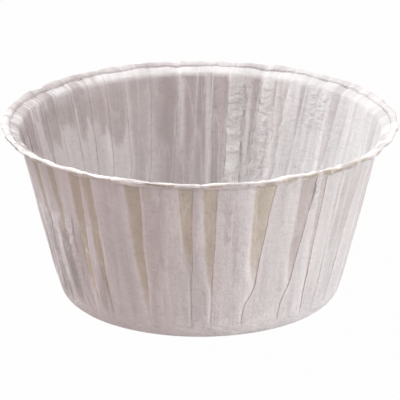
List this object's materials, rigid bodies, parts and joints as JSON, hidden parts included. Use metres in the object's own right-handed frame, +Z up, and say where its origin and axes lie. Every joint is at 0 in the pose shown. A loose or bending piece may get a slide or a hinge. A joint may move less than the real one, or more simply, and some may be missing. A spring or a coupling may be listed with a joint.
{
  "type": "cupcake liner",
  "caption": "Pleated greaseproof paper baking cup with a flat floor, flaring wall and a rolled rim.",
  "frame": {"origin": "middle of the cup's underside, on the surface that it stands on", "axes": "+Z up through the cup's mouth; -Y is the side towards the viewer of the picture; +X to the viewer's right"},
  "size_m": [0.0699, 0.07, 0.0321],
  "materials": {
    "greaseproof_paper": "matt white greaseproof paper, slightly see-through, tan where a pleat leaves a sunk strip"
  },
  "bodies": {
    "root": {"baking_cup": "greaseproof_paper"}
  },
  "joints": []
}
